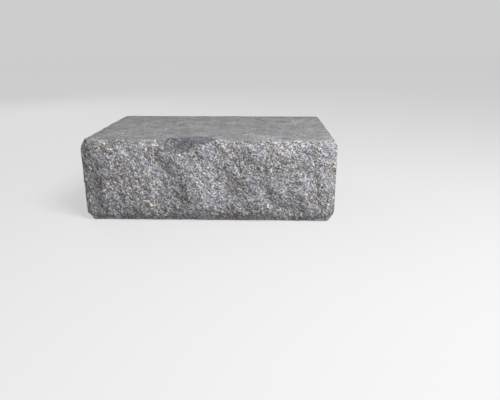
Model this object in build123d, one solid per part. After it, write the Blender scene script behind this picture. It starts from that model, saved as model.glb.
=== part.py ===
from build123d import *
import os
from math import cos, hypot, pi
from typing import NamedTuple

# A solid concrete wall brick: moulded flat on five sides, split rough on the sixth, then tumbled.
# Millimetres. X runs along the wall, Y into the wall and Z up. The split face looks along -Y, and
# the origin lies under the middle of the brick, on the plane of its lower bed.


class Ridge(NamedTuple):
    """A ridge of the split, or a hollow where its rise is negative.

    Its head and foot are places on the face: along from the middle, and up from the lower bed.
    """

    head: tuple
    foot: tuple
    rise: float
    half_width: float


# Outer size; the depth runs from the foremost point of the split face to the back
length = 300.0
depth = 200.0
height = 100.0

# Arrises rounded by tumbling
end_arris_radius = 7.0
back_arris_radius = 4.0
face_arris_radius = 4.5

# Split face: ridges and hollows that mostly slant from the upper left down to the right
right_ridge = Ridge(head=(80.0, 95.0), foot=(112.0, 32.0), rise=3.0, half_width=22.0)
right_shoulder = Ridge(head=(55.0, 100.0), foot=(80.0, 45.0), rise=4.0, half_width=25.0)
right_knob = Ridge(head=(80.0, 40.0), foot=(84.0, 26.0), rise=2.0, half_width=18.0)
right_hollow = Ridge(head=(92.0, 12.0), foot=(92.0, 4.0), rise=-4.0, half_width=20.0)
middle_ridge = Ridge(head=(40.0, 62.0), foot=(60.0, 12.0), rise=2.5, half_width=26.0)
middle_bulge = Ridge(head=(-12.0, 52.0), foot=(-5.0, 32.0), rise=3.0, half_width=30.0)
lower_ridge = Ridge(head=(-30.0, 35.0), foot=(-15.0, 5.0), rise=2.5, half_width=28.0)
chip_ridge = Ridge(head=(-46.0, 88.0), foot=(-18.0, 42.0), rise=2.5, half_width=20.0)
left_bulge = Ridge(head=(-108.0, 95.0), foot=(-85.0, 45.0), rise=3.0, half_width=35.0)
left_foot = Ridge(head=(-100.0, 30.0), foot=(-80.0, 5.0), rise=2.5, half_width=26.0)
left_ridge = Ridge(head=(-118.0, 66.0), foot=(-125.0, 35.0), rise=4.5, half_width=20.0)
left_hollow = Ridge(head=(-140.0, 45.0), foot=(-140.0, 30.0), rise=-4.0, half_width=22.0)
right_side = (right_ridge, right_shoulder, right_knob, right_hollow)
middle_part = (middle_ridge, middle_bulge, lower_ridge, chip_ridge)
left_side = (left_bulge, left_foot, left_ridge, left_hollow)

# Rim of the split face, which falls back towards the arrises
end_rim_fall = 3.5
upper_rim_fall = 2.0
lower_rim_fall = 5.0
rim_width = 20.0

# Spacing of the places that the smooth fracture surface runs through, and of the search for its peak
fracture_step = 8.0
peak_step = 1.0

# Corners knocked off the face: along the bed arris, up or down the end, and back into the depth
top_left_along = 15.0
top_left_down = 34.0
top_left_back = 24.0
top_right_along = 25.0
top_right_down = 24.0
top_right_back = 26.0
bottom_left_along = 21.0
bottom_left_up = 26.0
bottom_left_back = 22.0
bottom_right_along = 18.0
bottom_right_up = 34.0
bottom_right_back = 24.0

# Chip in the upper arris: a deep flake, and a shallow one that runs out to the right of it
deep_flake_radius = 21.0
deep_flake_place = -34.0
deep_flake_drop = 15.0
shallow_flake_radius = 60.0
shallow_flake_place = -14.0
shallow_flake_drop = 4.5
flake_setback = 2.0
flake_ridge_radius = 5.0

# How far the split and its waste run past the block on every side
overrun = 15.0

front = -depth / 2
end = length / 2


def away_from(ridge, x, z):
    """The distance from a place on the face to the line from a ridge's head to its foot."""
    run = ridge.foot[0] - ridge.head[0]
    fall = ridge.foot[1] - ridge.head[1]
    share = ((x - ridge.head[0]) * run + (z - ridge.head[1]) * fall) / (run**2 + fall**2)
    share = min(max(share, 0.0), 1.0)
    return hypot(x - ridge.head[0] - share * run, z - ridge.head[1] - share * fall)


def swell(ridge, x, z):
    """How far a ridge brings a place forward: its rise on its line, down to nothing at its border."""
    share = min(away_from(ridge, x, z) / ridge.half_width, 1.0)
    return ridge.rise * (1 + cos(pi * share)) / 2


def rim(distance):
    """Runs from 1 at an arris down to 0 at the rim's inner border, where it lies level."""
    return max(0.0, 1 - distance / rim_width) ** 2


def fade(distance):
    """Runs smoothly from 0 at an arris up to 1 at the rim's inner border."""
    return (1 - cos(pi * min(max(distance / rim_width, 0.0), 1.0))) / 2


def stand(x, z):
    """How far a place on the split stands forward of the plain face."""
    ridges = sum(swell(ridge, x, z) for ridge in right_side + middle_part + left_side)
    ridges *= fade(end - abs(x)) * fade(height - z) * fade(z)
    upright_rims = end_rim_fall * rim(end - abs(x))
    bed_rims = upper_rim_fall * rim(height - z) + lower_rim_fall * rim(z)
    return ridges - upright_rims - bed_rims


def spread(low, high, step):
    """Evenly spaced places from low to high, about one step apart."""
    count = round((high - low) / step)
    return [low + (high - low) * i / count for i in range(count + 1)]


def foremost():
    """How far the highest ridge stands forward of the plain face."""
    columns = spread(-end, end, peak_step)
    rows = spread(0, height, peak_step)
    return max(stand(x, z) for x in columns for z in rows)


def fracture_surface():
    """The fracture as a loft through upright curves, past the block and foremost at the front plane."""
    columns = spread(-end - overrun, end + overrun, fracture_step)
    rows = spread(-overrun, height + overrun, fracture_step)
    plain_face = front + foremost()
    curves = [Spline(*((x, plain_face - stand(x, z), z) for z in rows)) for x in columns]
    return Shell.make_loft(Wire([curve]) for curve in curves).face()


def moulded_block():
    """The block as it leaves the mould, with spare depth in front for the split to take away."""
    blank = Box(length, depth + overrun, height, align=(Align.CENTER, Align.MAX, Align.MIN))
    block = Pos(0, depth / 2, 0) * blank
    block = fillet(block.edges().filter_by(Axis.Y), end_arris_radius)
    back_face = block.faces().sort_by(Axis.Y)[-1]
    return fillet(back_face.edges(), back_arris_radius)


def split_block():
    """The block with its front split away and the new arrises tumbled round."""
    waste = Solid.extrude(fracture_surface(), Vector(0, -depth, 0))
    block = moulded_block() - waste
    split_face = block.faces().sort_by(Axis.Y)[0]
    return fillet(split_face.edges(), face_arris_radius)


def knock_off(block, side, level, along, upright, back):
    """Takes off the face corner at one end and one bed, by the plane through a point on each arris.

    `side` is -1 for the left end and 1 for the right; `level` is -1 for the lower bed and 1 for the upper.
    """
    corner = Vector(side * end, front, height if level > 0 else 0)
    outward = Vector(side / along, -1 / back, level / upright)
    cut = Plane(corner - Vector(side * along, 0, 0), z_dir=outward)
    return split(block, bisect_by=cut, keep=Keep.BOTTOM)


def flake(radius, place, drop):
    """A shell-shaped bite out of the upper arris that reaches `drop` below the upper bed.

    The ball's poles lie along X and its seam above, so that neither marks the brick.
    """
    return Pos(place, front + flake_setback, height - drop + radius) * Rot(0, -90, 0) * Sphere(radius)


def chip(brick):
    """Takes two flakes out of the upper arris and rounds the ridge that is left between their scars."""
    brick -= flake(deep_flake_radius, deep_flake_place, deep_flake_drop)
    brick -= flake(shallow_flake_radius, shallow_flake_place, shallow_flake_drop)
    deep_scar, shallow_scar = brick.faces().filter_by(GeomType.SPHERE).sort_by(lambda scar: scar.radius)
    return fillet(deep_scar.edges() & shallow_scar.edges(), flake_ridge_radius)


def wall_brick():
    """The finished brick: split, tumbled, with its corners knocked off and its upper arris chipped."""
    brick = split_block()
    brick = knock_off(brick, -1, 1, top_left_along, top_left_down, top_left_back)
    brick = knock_off(brick, 1, 1, top_right_along, top_right_down, top_right_back)
    brick = knock_off(brick, -1, -1, bottom_left_along, bottom_left_up, bottom_left_back)
    brick = knock_off(brick, 1, -1, bottom_right_along, bottom_right_up, bottom_right_back)
    return chip(brick)


os.makedirs("parts", exist_ok=True)
export_step(wall_brick(), "parts/wall_brick.step")
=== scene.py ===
"""The looks of a split concrete wall brick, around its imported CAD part.

Metres. X runs along the brick, Y back from its split face and Z up. The split face looks along -Y.
"""

from math import radians
from typing import NamedTuple

import bpy
import numpy as np
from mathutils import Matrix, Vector


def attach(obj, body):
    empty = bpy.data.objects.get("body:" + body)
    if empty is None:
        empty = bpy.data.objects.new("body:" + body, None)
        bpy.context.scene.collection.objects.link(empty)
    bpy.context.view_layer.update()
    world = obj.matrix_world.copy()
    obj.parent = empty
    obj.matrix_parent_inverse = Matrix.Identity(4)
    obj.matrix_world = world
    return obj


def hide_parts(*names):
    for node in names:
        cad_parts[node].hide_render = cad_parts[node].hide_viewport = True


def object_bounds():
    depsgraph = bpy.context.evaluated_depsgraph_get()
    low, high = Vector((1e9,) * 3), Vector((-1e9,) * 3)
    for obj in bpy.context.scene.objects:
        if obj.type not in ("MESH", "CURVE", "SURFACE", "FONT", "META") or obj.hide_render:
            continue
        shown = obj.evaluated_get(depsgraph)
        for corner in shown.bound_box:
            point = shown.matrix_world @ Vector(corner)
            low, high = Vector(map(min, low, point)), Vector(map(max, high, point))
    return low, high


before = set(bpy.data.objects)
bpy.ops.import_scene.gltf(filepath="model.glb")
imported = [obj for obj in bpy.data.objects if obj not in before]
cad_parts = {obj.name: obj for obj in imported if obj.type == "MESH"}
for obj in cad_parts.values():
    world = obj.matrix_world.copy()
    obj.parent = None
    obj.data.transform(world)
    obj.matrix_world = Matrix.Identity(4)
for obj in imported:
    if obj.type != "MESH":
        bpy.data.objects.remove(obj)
cad_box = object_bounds()
box_low, box_high = (np.array(corner) for corner in cad_box)

# One millimetre
MM = 0.001

# The photograph's camera: a 480 pixel lens on a 500 pixel image, looking down on the brick's face
CAMERA_PLACE = (0.0621, -0.6328, 0.2069)
CAMERA_PITCH = 18.3
CAMERA_YAW = 1.43
SENSOR_WIDTH = 36.0
LENS = 34.56

# Skin: quads of one size, halved where the concrete is broken, then thinned to a share of its faces
SKIN_STEP = 1.3 * MM
MERGE_DISTANCE = 0.01 * MM
KEPT_FACES = 0.48

# The split face lies about here, and its strokes fade out behind it and towards the beds
PLAIN_FACE = -94 * MM
SPLIT_FRONT = -93 * MM
SPLIT_BACK = -82 * MM
BED_RIM_START = 0.5 * MM
BED_RIM_FULL = 5 * MM

# Concrete is broken where it faces the front, and where it lies this far inside the moulded sides
FRONT_ZONE = -60 * MM
FACING_START = 0.1
FACING_FULL = 0.35
WORN_START = 0.8 * MM
WORN_FULL = 2.5 * MM
MOSTLY_BROKEN = 0.5

# The chip in the upper arris: the balls that its two scars are part of, smoother than the split
DEEP_FLAKE_MIDDLE = (-34 * MM, -98 * MM, 106 * MM)
DEEP_FLAKE_RADIUS = 21 * MM
SHALLOW_FLAKE_MIDDLE = (-14 * MM, -98 * MM, 155.5 * MM)
SHALLOW_FLAKE_RADIUS = 60 * MM
SCAR_EDGE = 0.5 * MM
SCAR_END = 1.5 * MM
LIP_EDGE = 2 * MM
LIP_END = 6 * MM
SCAR_RELIEF = 0.55

# Arrises are worn unevenly this far from where two sides would meet
ARRIS_NEAR = 3 * MM
ARRIS_FAR = 9 * MM

# The split runs in slanting strokes, down to the right by so many degrees, and its grains slant less
STROKE_LEAN = 66.0
STROKE_STRETCH = 1.75
GRAIN_LEAN = 42.0
GRAIN_STRETCH = 1.7


class Relief(NamedTuple):
    """One layer of relief: the size of its lumps, how deep it goes and which vertex group has it.

    The surface stays level where the layer's clouds have the value `level`.
    """

    name: str
    size: float
    depth: float
    level: float
    group: str
    straight_back: bool = False


# Relief of the split, the broken concrete, the arrises and the moulded sides
RELIEF_DETAIL = 3
RELIEFS = (
    Relief("strokes", size=9 * MM, depth=3.5 * MM, level=0.5, group="split", straight_back=True),
    Relief("streaks", size=3.2 * MM, depth=1.2 * MM, level=0.5, group="split", straight_back=True),
    Relief("lumps", size=8 * MM, depth=1.7 * MM, level=0.55, group="broken"),
    Relief("bites", size=10 * MM, depth=2.8 * MM, level=1.0, group="arrises"),
    Relief("grit", size=1.8 * MM, depth=0.5 * MM, level=0.5, group="broken"),
    Relief("sand", size=1.2 * MM, depth=0.6 * MM, level=0.5, group="broken"),
    Relief("skin_waves", size=14 * MM, depth=0.6 * MM, level=1.0, group="moulded"),
)

# Grains of three sizes and a mottle, and the share of each in the tone of the broken concrete
COARSE_GRAIN = 2.8 * MM
MIDDLE_GRAIN = 0.85 * MM
FINE_GRAIN = 0.55 * MM
GRAIN_WOBBLE = 0.8
MOTTLE_SIZE = 11 * MM
NOISE_MIDDLE = 0.5
COARSE_SHARE = 0.10
MIDDLE_SHARE = 0.62
FINE_SHARE = 0.28
MOTTLE_SHARE = 0.43

# Colours of the broken concrete: greys by tone, tints by mottle and by mineral
GREYS = ((0.19, (0.100, 0.098, 0.098)), (0.39, (0.222, 0.218, 0.222)), (0.52, (0.330, 0.325, 0.336)),
         (0.66, (0.500, 0.493, 0.515)), (0.79, (0.780, 0.773, 0.804)))
MOTTLE_TINTS = ((0.35, (1.025, 1.0, 0.94)), (0.65, (0.98, 1.0, 1.06)))
MINERAL_TINTS = ((0.0, (1.055, 1.0, 0.93)), (1.0, (0.94, 1.0, 1.09)))
# Painted shade that darkens the chip's scars
SCAR_PAINTED_SHADE = (0.50, 0.50, 0.53, 1)

# White specks among the middle grains
SPECK_PICK = 0.96
SPECK_STRENGTH = 0.75
SPECK_WHITE = (0.92, 0.915, 0.95, 1)

# Pale stones among the coarse grains, sparse in some patches and dense in others
STONE_PATCH = 30 * MM
STONE_PATCH_START = 0.42
STONE_PATCH_FULL = 0.65
SPARSE_STONE_PICK = 0.985
DENSE_STONE_PICK = 0.80
STONE_REACH = 0.46
STONE_TINTS = ((0.0, (0.88, 0.87, 0.87)), (0.6, (0.90, 0.87, 0.79)), (1.0, (0.82, 0.73, 0.56)))

# A few ochre grains
OCHRE_PICK = 0.9985
OCHRE_TINTS = ((0.0, (0.78, 0.68, 0.40)), (1.0, (0.66, 0.50, 0.28)))

# The cement skin of the moulded sides: clouds with some grain, worn patches and pores darkened by painted
# shade
CEMENT_CLOUD = 16 * MM
CEMENT_CLOUD_SHARE = 0.6
CEMENT_COARSE_SHARE = 0.14
CEMENT_FINE_SHARE = 0.26
CEMENT_GREYS = ((0.28, (0.18, 0.177, 0.178)), (0.5, (0.30, 0.296, 0.301)), (0.72, (0.46, 0.455, 0.467)))
WORN_PATCH = 22 * MM
WORN_PATCH_START = 0.5
WORN_PATCH_FULL = 0.62
WORN_PATCH_SHARE = 0.7
PORE_SIZE = 3.2 * MM
PORE_START = 0.60
PORE_FULL = 0.65
PORE_SHARE = 0.8
# Painted shade for the pores
PORE_PAINTED_SHADE = (0.10, 0.098, 0.096, 1)

# Painted shade that darkens the relief's hollows, and the gloss and fine bump of the whole brick
HOLLOW_PAINTED_SHADES = ((0.3, (0.74, 0.735, 0.735)), (0.5, (0.97, 0.97, 0.97)), (0.7, (1.0, 1.0, 1.0)))
SPECULAR_LEVEL = 0.3
DARK_ROUGHNESS = 1.0
PALE_SMOOTHING = 0.25
BUMP_GRIT = 0.9 * MM
BUMP_DEPTH = 0.5 * MM
PORE_BUMP = 1.2

# Greys of the floor and the world, for the light that they throw and for rays that show them
FLOOR_SIZE = 16.0
FLOOR_ROUGHNESS = 0.9
FLOOR_SPECULAR = 0.1
FLOOR_LIT = (0.42, 0.42, 0.42, 1)
FLOOR_SEEN = (0.24, 0.24, 0.24, 1)
FLOOR_DARK = (0, 0, 0, 1)
FLOOR_GLOW = (0.52, 0.52, 0.52, 1)
WORLD_LIT = (0.25, 0.25, 0.25, 1)
WORLD_SEEN = (0.61, 0.61, 0.61, 1)

# Where a Mix node has its factor, its two colours and its mixed colour
MIX_FACTOR = 0
MIX_FIRST = 6
MIX_SECOND = 7
MIX_RESULT = 2


class Lamp(NamedTuple):
    """A soft square lamp: its place, the point that it looks at, its size and its power in watts."""

    name: str
    place: tuple
    target: tuple
    size: float
    power: float


KEY_LAMP = Lamp("key", place=(0.52, -0.60, 0.88), target=(0, -0.1, 0.05), size=0.5, power=16.2)
FILL_LAMP = Lamp("fill", place=(-0.7, 0.8, 0.7), target=(0, 0, 0.05), size=0.8, power=3.0)


def select_only(piece):
    """Leaves one object selected and active."""
    bpy.ops.object.select_all(action="DESELECT")
    piece.select_set(True)
    bpy.context.view_layer.objects.active = piece


def apply_all(piece):
    """Applies the piece's modifiers in their order."""
    select_only(piece)
    for modifier in list(piece.modifiers):
        bpy.ops.object.modifier_apply(modifier=modifier.name)


def smoothstep(values, low, high):
    """0 below low, 1 above high and a smooth run between them."""
    t = np.clip((values - low) / (high - low), 0, 1)
    return t * t * (3 - 2 * t)


def rows_of(vertices, name):
    """A value of three numbers for each vertex, such as its place or normal, as rows."""
    flat = np.empty(len(vertices) * 3)
    vertices.foreach_get(name, flat)
    return flat.reshape(-1, 3)


def take_block():
    """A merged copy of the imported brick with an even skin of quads."""
    block = bpy.data.objects.new("split_brick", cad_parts["wall_brick"].data.copy())
    bpy.context.scene.collection.objects.link(block)
    block.data.materials.clear()
    select_only(block)
    bpy.ops.object.mode_set(mode="EDIT")
    bpy.ops.mesh.select_all(action="SELECT")
    bpy.ops.mesh.remove_doubles(threshold=MERGE_DISTANCE)
    bpy.ops.object.mode_set(mode="OBJECT")
    skin = block.modifiers.new("even_skin", "REMESH")
    skin.mode = "VOXEL"
    skin.voxel_size = SKIN_STEP
    apply_all(block)
    return block


def inside_beds(points):
    """How far each point lies inside the two beds, a row for each bed."""
    return np.array([points[:, 2] - box_low[2], box_high[2] - points[:, 2]])


def inside_sides(points):
    """How far each point lies inside the five moulded sides, a row for each side."""
    upright_sides = np.array([points[:, 0] - box_low[0], box_high[0] - points[:, 0],
                              box_high[1] - points[:, 1]])
    return np.vstack([upright_sides, inside_beds(points)])


def off_chip(points):
    """How far each point lies outside the nearer of the chip's two balls; their scars lie at 0."""
    from_deep = np.linalg.norm(points - DEEP_FLAKE_MIDDLE, axis=1) - DEEP_FLAKE_RADIUS
    from_shallow = np.linalg.norm(points - SHALLOW_FLAKE_MIDDLE, axis=1) - SHALLOW_FLAKE_RADIUS
    return np.minimum(from_deep, from_shallow)


def scar_share(points):
    """1 on the chip's scars, 0 a little way off them."""
    return 1 - smoothstep(off_chip(points), SCAR_EDGE, SCAR_END)


def broken_share(block):
    """1 where the concrete is broken open or worn away, 0 where it has its moulded skin."""
    points = rows_of(block.data.vertices, "co")
    normals = rows_of(block.data.vertices, "normal")
    facing = smoothstep(-normals[:, 1], FACING_START, FACING_FULL) * (points[:, 1] < FRONT_ZONE)
    worn = smoothstep(np.min(inside_sides(points), axis=0), WORN_START, WORN_FULL)
    return np.max([facing, worn, scar_share(points)], axis=0)


def split_share(points):
    """1 on the split face, fading out behind it and towards the beds."""
    from_beds = np.min(inside_beds(points), axis=0)
    from_front = 1 - smoothstep(points[:, 1], SPLIT_FRONT, SPLIT_BACK)
    return from_front * smoothstep(from_beds, BED_RIM_START, BED_RIM_FULL)


def arris_share(points):
    """1 along the arrises, 0 from a little way off."""
    inside = np.vstack([inside_sides(points), points[:, 1] - PLAIN_FACE])
    second_nearest = np.sort(inside, axis=0)[1]
    return 1 - smoothstep(second_nearest, ARRIS_NEAR, ARRIS_FAR)


def refine_broken_side(block):
    """Halves the quads where the concrete is broken open at the front."""
    in_front = rows_of(block.data.vertices, "co")[:, 1] < FRONT_ZONE
    fine = (broken_share(block) > MOSTLY_BROKEN) & in_front
    select_only(block)
    bpy.ops.object.mode_set(mode="EDIT")
    bpy.ops.mesh.select_all(action="DESELECT")
    bpy.ops.object.mode_set(mode="OBJECT")
    for face in block.data.polygons:
        face.select = all(fine[corner] for corner in face.vertices)
    bpy.ops.object.mode_set(mode="EDIT")
    bpy.ops.mesh.subdivide(number_cuts=1)
    bpy.ops.object.mode_set(mode="OBJECT")


def paint_group(piece, name, weights):
    """A vertex group with one weight for each vertex."""
    group = piece.vertex_groups.new(name=name)
    for index, weight in enumerate(weights):
        if weight > 0:
            group.add([index], float(weight), "REPLACE")


def mark_zones(block):
    """Marks where the brick is split, broken, worn or moulded, for its relief and its finish."""
    points = rows_of(block.data.vertices, "co")
    broken = broken_share(block)
    scar = scar_share(points)
    lip = 1 - smoothstep(off_chip(points), LIP_EDGE, LIP_END)
    paint_group(block, "broken", broken * (1 - (1 - SCAR_RELIEF) * scar))
    paint_group(block, "moulded", 1 - broken)
    paint_group(block, "split", split_share(points) * (1 - scar))
    paint_group(block, "arrises", arris_share(points) * (1 - lip))
    for name, share in (("exposed", broken), ("scar", scar)):
        mark = block.data.attributes.new(name, "FLOAT", "POINT")
        mark.data.foreach_set("value", share.astype(np.float32))


def relief_texture(layer):
    """The clouds of a layer of relief."""
    texture = bpy.data.textures.new(layer.name, "CLOUDS")
    texture.noise_type = "SOFT_NOISE"
    texture.noise_depth = RELIEF_DETAIL
    texture.noise_scale = layer.size
    return texture


def carve(block, layer, strokes):
    """Works a layer of relief into the surface, along its normal or straight along Y.

    The clouds of a layer that goes straight along Y lean as the strokes do. The surface stands out where
    the clouds are high and lies back where they are low.
    """
    press = block.modifiers.new(layer.name, "DISPLACE")
    press.texture = relief_texture(layer)
    press.vertex_group = layer.group
    press.mid_level = layer.level
    if layer.straight_back:
        press.strength = -layer.depth
        press.direction = "Y"
        press.texture_coords = "OBJECT"
        press.texture_coords_object = strokes
    else:
        press.strength = layer.depth
        press.direction = "NORMAL"
        press.texture_coords = "LOCAL"


def hold_inside(block):
    """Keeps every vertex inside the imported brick's box."""
    points = np.clip(rows_of(block.data.vertices, "co"), *cad_box)
    block.data.vertices.foreach_set("co", points.ravel())
    block.data.update()


def roughen(block):
    """Breaks the split face into strokes, lumps and grains, and wears the arrises and the moulded sides."""
    bpy.ops.object.empty_add(location=(0, 0, 0), rotation=(0, radians(STROKE_LEAN), 0))
    strokes = bpy.context.active_object
    strokes.scale = (STROKE_STRETCH, 1, 1)
    for layer in RELIEFS:
        carve(block, layer, strokes)
    thin = block.modifiers.new("thin_skin", "DECIMATE")
    thin.ratio = KEPT_FACES
    thin.vertex_group = "moulded"
    apply_all(block)
    bpy.data.objects.remove(strokes)
    hold_inside(block)
    select_only(block)
    bpy.ops.object.shade_smooth()


def mark_hollows(block):
    """Keeps for the finish where the relief's hollows and heights lie; the finish paints shade into the
    hollows.
    """
    select_only(block)
    bpy.ops.geometry.color_attribute_add(name="hollows", domain="POINT", data_type="FLOAT_COLOR",
                                         color=(1, 1, 1, 1))
    bpy.ops.paint.vertex_color_dirt(blur_strength=1.0, blur_iterations=1, clean_angle=radians(180),
                                    dirt_angle=0, normalize=True)


def add(tree, kind, **values):
    """A shader node with its settings and its sockets' values."""
    made = tree.nodes.new("ShaderNode" + kind)
    for name, value in values.items():
        socket = name.replace("_", " ")
        if socket in made.inputs:
            made.inputs[socket].default_value = value
        else:
            setattr(made, name, value)
    return made


def fill(tree, socket, value):
    """Links a socket to another one, or sets it to a plain value."""
    if isinstance(value, (int, float, tuple)):
        socket.default_value = value
    else:
        tree.links.new(value, socket)


def maths(tree, operation, first, second):
    """A Math node; each value is a socket to link or a plain number."""
    made = add(tree, "Math", operation=operation)
    fill(tree, made.inputs[0], first)
    fill(tree, made.inputs[1], second)
    return made.outputs[0]


def weighted_sum(tree, *weighted):
    """The sum of (value, weight) pairs."""
    total, *others = (maths(tree, "MULTIPLY", value, weight) for value, weight in weighted)
    for other in others:
        total = maths(tree, "ADD", total, other)
    return total


def mix_colour(tree, amount, first, second, blend="MIX"):
    """A colour Mix node; each value is a socket to link or a plain value."""
    made = add(tree, "Mix", data_type="RGBA", blend_type=blend)
    fill(tree, made.inputs[MIX_FACTOR], amount)
    fill(tree, made.inputs[MIX_FIRST], first)
    fill(tree, made.inputs[MIX_SECOND], second)
    return made.outputs[MIX_RESULT]


def tinted(tree, colour, tint):
    """A colour times a tint."""
    return mix_colour(tree, 1.0, colour, tint, "MULTIPLY")


def ramp(tree, value, stops):
    """A colour ramp through (place, colour) stops; a new stop starts half way and then gets its place."""
    made = add(tree, "ValToRGB")
    line = made.color_ramp.elements
    while len(line) < len(stops):
        line.new(0.5)
    for stop, (place, colour) in zip(line, stops):
        stop.position = place
        stop.color = (*colour, 1)
    tree.links.new(value, made.inputs[0])
    return made.outputs[0]


def noise(tree, place, size, detail):
    """A cloudy noise between about 0.3 and 0.7, with lumps of a size."""
    made = add(tree, "TexNoise", Scale=1 / size, Detail=detail)
    tree.links.new(place, made.inputs["Vector"])
    return made.outputs["Fac"]


def stretch(tree, value, low, high, new_low, new_high):
    """A value moved from one range to another, and held inside it."""
    made = add(tree, "MapRange", From_Min=low, From_Max=high, To_Min=new_low, To_Max=new_high)
    tree.links.new(value, made.inputs["Value"])
    return made.outputs["Result"]


def slant(tree, place, lean, stretched):
    """Places in a frame that leans like the split's strokes, stretched along them."""
    made = add(tree, "Mapping", vector_type="TEXTURE", Rotation=(0, radians(lean), 0),
               Scale=(stretched, 1, 1))
    tree.links.new(place, made.inputs["Vector"])
    return made.outputs[0]


def mark_of(tree, name):
    """One of the marks that the brick's mesh carries."""
    return add(tree, "Attribute", attribute_name=name).outputs["Fac"]


def grains_group():
    """Mineral grains of one size: a tone and a pick at random for each, and the way to its middle."""
    group = bpy.data.node_groups.new("mineral_grains", "ShaderNodeTree")
    group.interface.new_socket("Vector", in_out="INPUT", socket_type="NodeSocketVector")
    group.interface.new_socket("Per Metre", in_out="INPUT", socket_type="NodeSocketFloat")
    for name in ("Tone", "Pick", "Distance"):
        group.interface.new_socket(name, in_out="OUTPUT", socket_type="NodeSocketFloat")
    start = group.nodes.new("NodeGroupInput")
    end = group.nodes.new("NodeGroupOutput")
    wobble = add(group, "TexNoise", Detail=2.0)
    group.links.new(start.outputs["Vector"], wobble.inputs["Vector"])
    group.links.new(start.outputs["Per Metre"], wobble.inputs["Scale"])
    centred = add(group, "VectorMath", operation="SUBTRACT")
    centred.inputs[1].default_value = (NOISE_MIDDLE, NOISE_MIDDLE, NOISE_MIDDLE)
    group.links.new(wobble.outputs["Color"], centred.inputs[0])
    reach = add(group, "VectorMath", operation="SCALE")
    group.links.new(centred.outputs[0], reach.inputs[0])
    group.links.new(maths(group, "DIVIDE", GRAIN_WOBBLE, start.outputs["Per Metre"]), reach.inputs["Scale"])
    moved = add(group, "VectorMath", operation="ADD")
    group.links.new(start.outputs["Vector"], moved.inputs[0])
    group.links.new(reach.outputs[0], moved.inputs[1])
    cell = add(group, "TexVoronoi")
    group.links.new(moved.outputs[0], cell.inputs["Vector"])
    group.links.new(start.outputs["Per Metre"], cell.inputs["Scale"])
    parts = add(group, "SeparateColor")
    group.links.new(cell.outputs["Color"], parts.inputs[0])
    group.links.new(parts.outputs["Red"], end.inputs["Tone"])
    group.links.new(parts.outputs["Green"], end.inputs["Pick"])
    group.links.new(cell.outputs["Distance"], end.inputs["Distance"])
    return group


def place_grains(tree, group, place, size):
    """The grains group in a material, for grains of a size."""
    made = add(tree, "Group", node_tree=group)
    made.inputs["Per Metre"].default_value = 1 / size
    tree.links.new(place, made.inputs["Vector"])
    return made.outputs


def white_specks(tree, grey, middle):
    """White specks over the greys, where a middle grain has a rare pick."""
    specks = maths(tree, "GREATER_THAN", middle["Pick"], SPECK_PICK)
    specks = maths(tree, "MULTIPLY", specks, SPECK_STRENGTH)
    return mix_colour(tree, specks, grey, SPECK_WHITE)


def pale_stones(tree, place, grey, coarse):
    """Pale stones over the greys, more of them in some patches than in others."""
    patch = noise(tree, place, STONE_PATCH, detail=2.0)
    rarity = stretch(tree, patch, STONE_PATCH_START, STONE_PATCH_FULL, SPARSE_STONE_PICK, DENSE_STONE_PICK)
    stones = maths(tree, "GREATER_THAN", coarse["Pick"], rarity)
    stones = maths(tree, "MULTIPLY", stones, maths(tree, "LESS_THAN", coarse["Distance"], STONE_REACH))
    return mix_colour(tree, stones, grey, ramp(tree, coarse["Tone"], STONE_TINTS))


def ochre_grains(tree, grey, middle):
    """A few ochre grains over the greys."""
    ochre = maths(tree, "GREATER_THAN", middle["Pick"], OCHRE_PICK)
    return mix_colour(tree, ochre, grey, ramp(tree, middle["Tone"], OCHRE_TINTS))


def broken_colour(tree, place, blend, mottle, coarse, middle):
    """The colour of broken concrete, with painted shade darkening the chip's scars."""
    grey = tinted(tree, ramp(tree, blend, GREYS), ramp(tree, mottle, MOTTLE_TINTS))
    grey = tinted(tree, grey, ramp(tree, middle["Pick"], MINERAL_TINTS))
    grey = white_specks(tree, grey, middle)
    grey = pale_stones(tree, place, grey, coarse)
    grey = ochre_grains(tree, grey, middle)
    # Painted shade darkens the chip's scars
    return mix_colour(tree, mark_of(tree, "scar"), grey, SCAR_PAINTED_SHADE, "MULTIPLY")


def moulded_colour(tree, place, coarse, fine, broken, pores):
    """The colour of the moulded sides: cement skin with patches worn down to the grains, and pores darkened
    by painted shade.
    """
    cement = weighted_sum(tree, (noise(tree, place, CEMENT_CLOUD, detail=6.0), CEMENT_CLOUD_SHARE),
                          (coarse["Tone"], CEMENT_COARSE_SHARE), (fine["Tone"], CEMENT_FINE_SHARE))
    worn = stretch(tree, noise(tree, place, WORN_PATCH, detail=6.0), WORN_PATCH_START, WORN_PATCH_FULL,
                   0.0, WORN_PATCH_SHARE)
    skin = mix_colour(tree, worn, ramp(tree, cement, CEMENT_GREYS), broken)
    # Painted shade: the pores are darkened
    return mix_colour(tree, pores, skin, PORE_PAINTED_SHADE)


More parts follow.
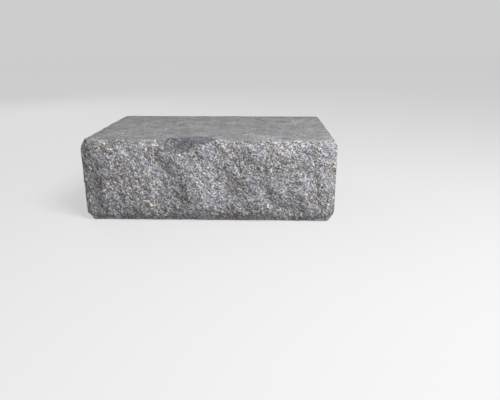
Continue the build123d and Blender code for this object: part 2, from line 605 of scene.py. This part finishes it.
def concrete():
    """Grey concrete: grains in cement where it is broken, a finer cement skin where it was moulded."""
    finish = bpy.data.materials.new("split_concrete")
    finish.use_nodes = True
    tree = finish.node_tree
    shader = tree.nodes["Principled BSDF"]
    shader.inputs["Specular IOR Level"].default_value = SPECULAR_LEVEL
    place = add(tree, "TexCoord").outputs["Object"]
    slanted = slant(tree, place, GRAIN_LEAN, GRAIN_STRETCH)
    streaked = slant(tree, place, STROKE_LEAN, STROKE_STRETCH)
    group = grains_group()
    coarse = place_grains(tree, group, place, COARSE_GRAIN)
    middle = place_grains(tree, group, slanted, MIDDLE_GRAIN)
    fine = place_grains(tree, group, slanted, FINE_GRAIN)
    mottle = noise(tree, streaked, MOTTLE_SIZE, detail=5.0)
    blend = weighted_sum(tree, (coarse["Tone"], COARSE_SHARE), (middle["Tone"], MIDDLE_SHARE),
                         (fine["Tone"], FINE_SHARE),
                         (maths(tree, "SUBTRACT", mottle, NOISE_MIDDLE), MOTTLE_SHARE))
    broken = broken_colour(tree, place, blend, mottle, coarse, middle)
    # Pores: a mask for their painted shade and their bump
    pores = stretch(tree, noise(tree, place, PORE_SIZE, detail=3.0), PORE_START, PORE_FULL, 0.0, PORE_SHARE)
    moulded = moulded_colour(tree, place, coarse, fine, broken, pores)
    colour = mix_colour(tree, mark_of(tree, "exposed"), moulded, broken)
    # Painted shade: the colour darkens in the relief's hollows, where less light reaches
    colour = tinted(tree, colour, ramp(tree, mark_of(tree, "hollows"), HOLLOW_PAINTED_SHADES))
    tree.links.new(colour, shader.inputs["Base Color"])
    roughness = maths(tree, "SUBTRACT", DARK_ROUGHNESS, maths(tree, "MULTIPLY", blend, PALE_SMOOTHING))
    tree.links.new(roughness, shader.inputs["Roughness"])
    grit = noise(tree, place, BUMP_GRIT, detail=3.0)
    height = maths(tree, "SUBTRACT", grit, maths(tree, "MULTIPLY", pores, PORE_BUMP))
    bump = add(tree, "Bump", Strength=1.0, Distance=BUMP_DEPTH)
    tree.links.new(height, bump.inputs["Height"])
    tree.links.new(bump.outputs[0], shader.inputs["Normal"])
    return finish


def seen_ray(tree):
    """1 on rays that show the background, from the camera or by way of gloss or glass."""
    path = add(tree, "LightPath")
    seen = maths(tree, "MAXIMUM", path.outputs["Is Camera Ray"], path.outputs["Is Glossy Ray"])
    return maths(tree, "MAXIMUM", seen, path.outputs["Is Transmission Ray"])


def pale_paint():
    """Floor paint that keeps the shadow and looks paler than the light that it throws back."""
    paint = bpy.data.materials.new("pale_paint")
    paint.use_nodes = True
    tree = paint.node_tree
    shader = tree.nodes["Principled BSDF"]
    shader.inputs["Roughness"].default_value = FLOOR_ROUGHNESS
    shader.inputs["Specular IOR Level"].default_value = FLOOR_SPECULAR
    seen = seen_ray(tree)
    tree.links.new(mix_colour(tree, seen, FLOOR_LIT, FLOOR_SEEN), shader.inputs["Base Color"])
    tree.links.new(mix_colour(tree, seen, FLOOR_DARK, FLOOR_GLOW), shader.inputs["Emission Color"])
    shader.inputs["Emission Strength"].default_value = 1.0
    return paint


def backdrop():
    """A wide pale floor."""
    bpy.ops.object.select_all(action="DESELECT")
    bpy.ops.mesh.primitive_plane_add(size=FLOOR_SIZE, location=(0, 0, 0))
    floor = bpy.context.active_object
    floor.name = "pale_floor"
    floor.data.materials.append(pale_paint())


def place_lamp(lamp):
    """Hangs a lamp so that it looks at its target."""
    bpy.ops.object.light_add(type="AREA", location=lamp.place)
    hung = bpy.context.active_object
    hung.name = lamp.name
    hung.data.size = lamp.size
    hung.data.energy = lamp.power
    hung.rotation_euler = (Vector(lamp.target) - Vector(lamp.place)).to_track_quat("-Z", "Y").to_euler()


def studio():
    """Soft light from the upper right in front, a weak one from behind and a dim world all round."""
    world = bpy.data.worlds.new("studio")
    bpy.context.scene.world = world
    world.use_nodes = True
    tree = world.node_tree
    sky = mix_colour(tree, seen_ray(tree), WORLD_LIT, WORLD_SEEN)
    tree.links.new(sky, tree.nodes["Background"].inputs["Color"])
    place_lamp(KEY_LAMP)
    place_lamp(FILL_LAMP)


def place_camera():
    """The photograph's camera; unturned, a camera looks straight down."""
    bpy.ops.object.camera_add(location=CAMERA_PLACE,
                              rotation=(radians(90 - CAMERA_PITCH), 0, radians(CAMERA_YAW)))
    camera = bpy.context.active_object
    camera.data.sensor_width = SENSOR_WIDTH
    camera.data.lens = LENS
    bpy.context.scene.camera = camera


block = take_block()
refine_broken_side(block)
mark_zones(block)
roughen(block)
mark_hollows(block)
block.data.materials.append(concrete())
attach(block, "root")
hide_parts("wall_brick")
backdrop()
studio()
place_camera()
bpy.context.scene.view_settings.view_transform = "Standard"
